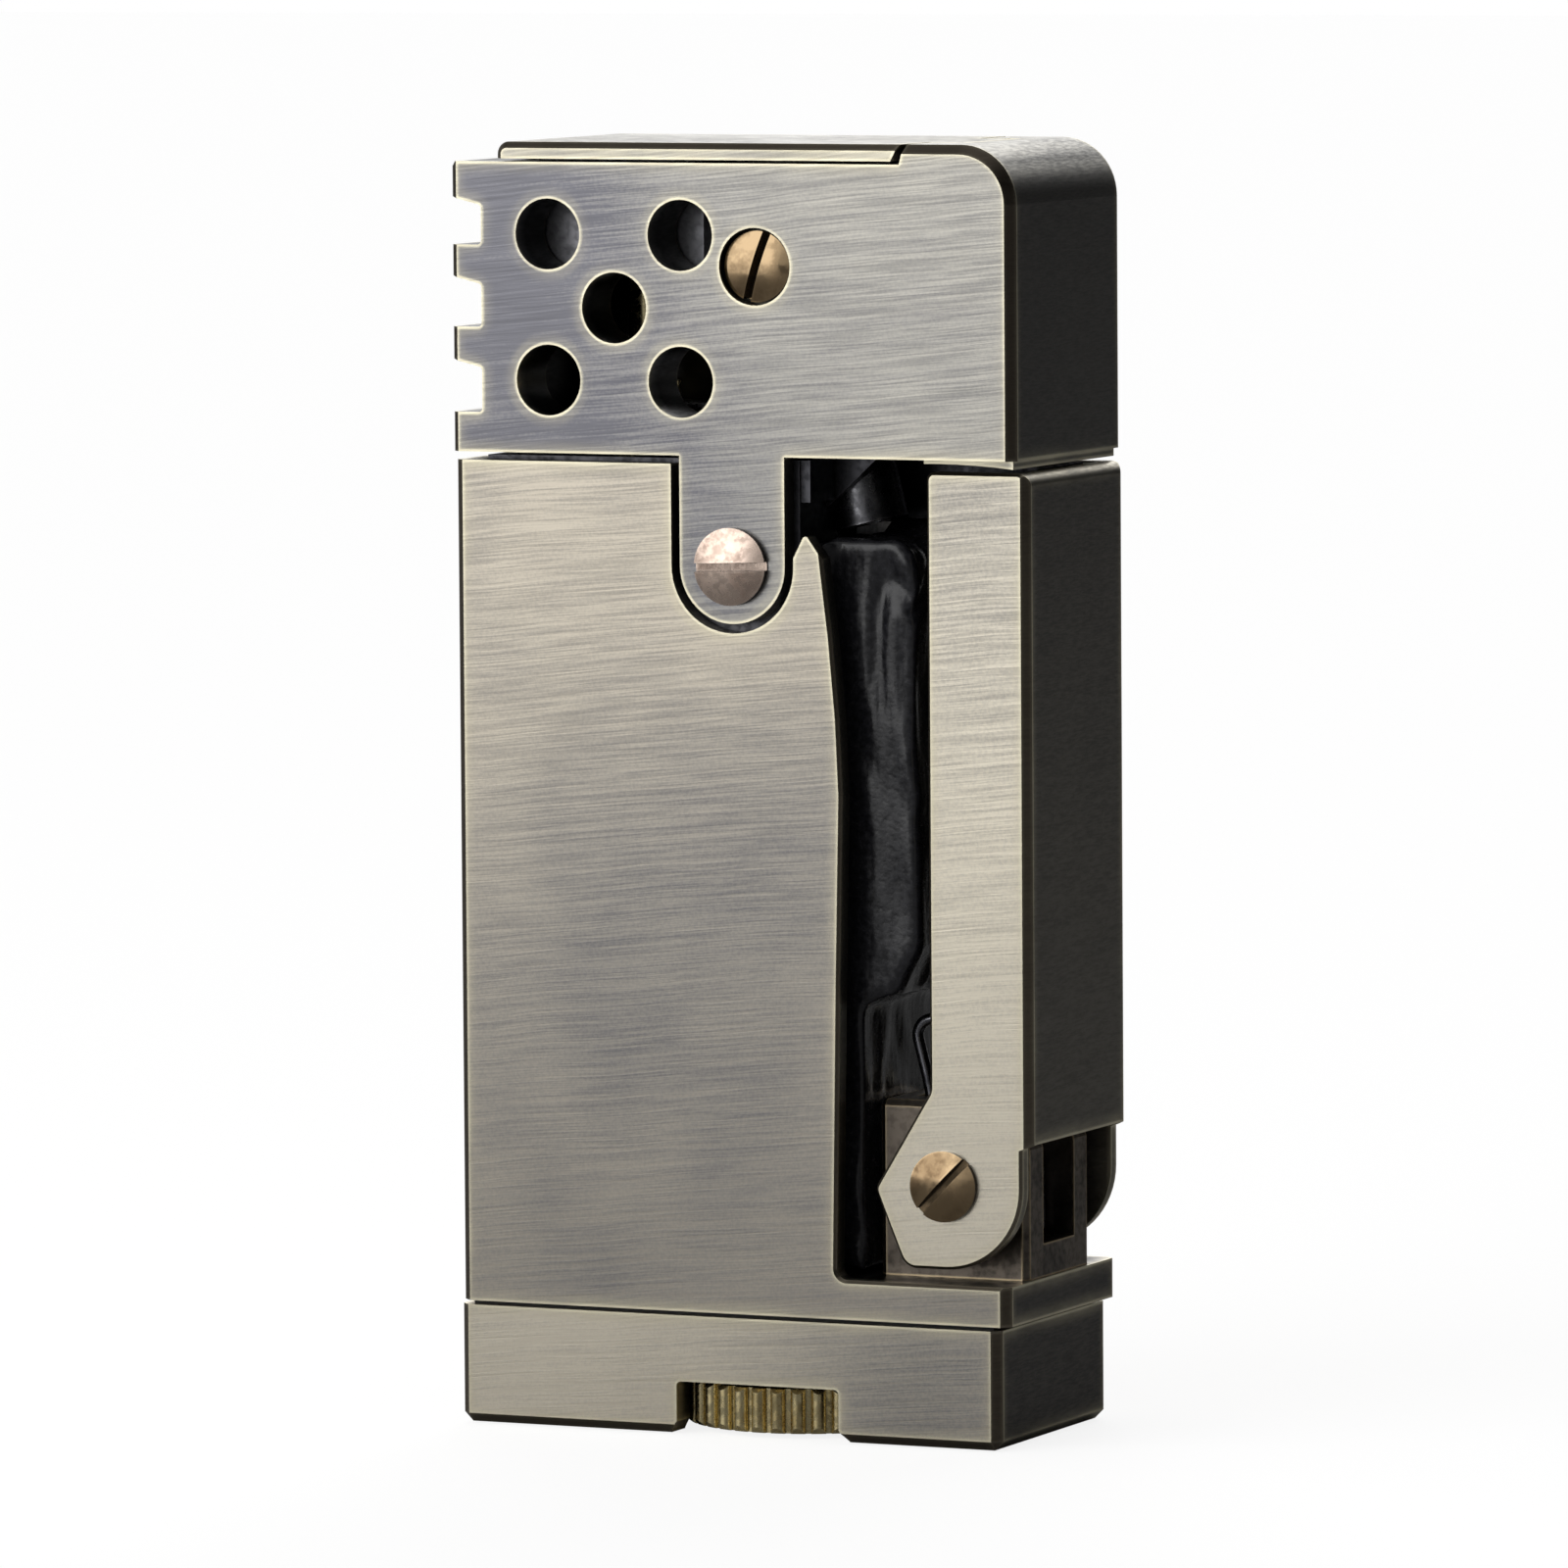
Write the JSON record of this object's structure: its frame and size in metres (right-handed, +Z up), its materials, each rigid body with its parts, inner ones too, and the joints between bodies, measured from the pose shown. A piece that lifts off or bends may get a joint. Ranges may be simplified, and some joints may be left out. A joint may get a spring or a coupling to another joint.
{
  "type": "pocket flint lighter",
  "caption": "Slim upright pocket flint lighter with a brushed metal case, side squeeze lever, hinged top lid, vented head and a knurled flame wheel in its base.",
  "frame": {"origin": "middle of the flat underside, at the centre of the object's bounding box", "axes": "+Z up along the case, -Y out of the front face with the slotted screws, +X towards the squeeze lever"},
  "size_m": [0.0298, 0.0142, 0.062],
  "materials": {
    "casing_brass": "brushed antique brass, worn bright at the edges",
    "base_brass": "brushed antique brass, darker",
    "head_brass": "brushed antique brass",
    "lid_brass": "brushed antique brass",
    "lever_brass": "brushed antique brass",
    "screw_brass": "turned brass, satin",
    "copper_screw": "turned copper-coloured brass, satin",
    "wheel_brass": "machined yellow brass",
    "black_tank": "glossy black, lightly uneven",
    "dark_cast": "dark plated casting",
    "hood_steel": "plain steel sheet",
    "steel": "dark oiled steel",
    "hard_steel": "hardened steel",
    "spring_steel": "spring wire",
    "flint_metal": "rough cast flint",
    "black_rubber": "matt rubber"
  },
  "bodies": {
    "frame": {"body_casing": "casing_brass", "base_cap": "base_brass", "base_gasket": "black_rubber", "base_screws": "screw_brass", "filler_valve": "wheel_brass", "filler_seal": "black_rubber", "fuel_tank": "black_tank", "chassis": "dark_cast", "burner_valve": "wheel_brass", "valve_seal": "black_rubber", "valve_lever_pin": "steel", "flint_tube": "steel", "flint": "flint_metal", "flint_spring": "spring_steel", "flint_plug": "steel", "axle_screw": "screw_brass", "head_shell": "head_brass", "tongue_screws": "copper_screw", "lid_hinge_pin": "steel", "lever_bracket": "dark_cast", "pivot_spacers": "steel", "lever_spring": "spring_steel"},
    "lever": {"lever": "lever_brass", "lever_pivot_pin": "steel", "lever_pivot_screws": "screw_brass"},
    "drive_slider": {"drive_slider": "steel"},
    "drive_arm": {"drive_arm": "steel"},
    "spark_wheel": {"spark_wheel": "hard_steel"},
    "lid": {"lid": "lid_brass", "snuffer_hood": "hood_steel", "snuffer_pad": "black_rubber"},
    "valve_lever": {"valve_lever": "steel"},
    "burner_jet": {"burner_jet": "wheel_brass"},
    "flame_adjust_wheel": {"flame_adjust_wheel": "wheel_brass"},
    "filler_stem": {"filler_stem": "steel"}
  },
  "joints": [
    {"name": "lever_squeeze", "type": "hinge", "parent": "frame", "child": "lever", "pos_m": [0.01045, 0, 0.0125], "axis": [0, -1, 0], "range_deg": [0, 8], "stiffness_Nm_per_rad": 0.15, "springref_deg": -22.92, "deforming": ["lever_spring"]},
    {"name": "slider_push", "type": "slide", "parent": "frame", "child": "drive_slider", "axis": [-1, 0, 0], "range_m": [0, 0.0049]},
    {"name": "drive_arm_swing", "type": "hinge", "parent": "frame", "child": "drive_arm", "pos_m": [0.00115, 0, 0.05615], "axis": [0, 1, 0], "range_deg": [0, 50]},
    {"name": "spark_wheel_turn", "type": "hinge", "parent": "frame", "child": "spark_wheel", "pos_m": [0.00115, 0, 0.05615], "axis": [0, 1, 0], "range_deg": [0, 50]},
    {"name": "lid_open", "type": "hinge", "parent": "frame", "child": "lid", "pos_m": [0.00995, 0, 0.0606], "axis": [0, 1, 0], "range_deg": [0, 49]},
    {"name": "valve_lever_tilt", "type": "hinge", "parent": "frame", "child": "valve_lever", "pos_m": [-0.00105, 0, 0.049], "axis": [0, 1, 0], "range_deg": [0, 4.2]},
    {"name": "jet_lift", "type": "slide", "parent": "frame", "child": "burner_jet", "axis": [0, 0, 1], "range_m": [0, 0.0005]},
    {"name": "flame_adjust", "type": "hinge", "parent": "frame", "child": "flame_adjust_wheel", "pos_m": [0.00085, 0, 0.0012], "axis": [0, 0, 1], "range_deg": [-120, 120]},
    {"name": "filler_press", "type": "slide", "parent": "frame", "child": "filler_stem", "axis": [0, 0, 1], "range_m": [0, 0.0008], "stiffness_N_per_m": 100, "springref_m": -0.003}
  ],
  "couplings": [
    {"joint": "slider_push", "follows": "lever_squeeze", "m_per_rad": 0.0343},
    {"joint": "drive_arm_swing", "follows": "lever_squeeze", "ratio": 6.2},
    {"joint": "spark_wheel_turn", "follows": "lever_squeeze", "ratio": 6.2},
    {"joint": "lid_open", "follows": "lever_squeeze", "ratio": 6},
    {"joint": "valve_lever_tilt", "follows": "lever_squeeze", "ratio": 0.5},
    {"joint": "jet_lift", "follows": "lever_squeeze", "m_per_rad": 0.00325}
  ]
}
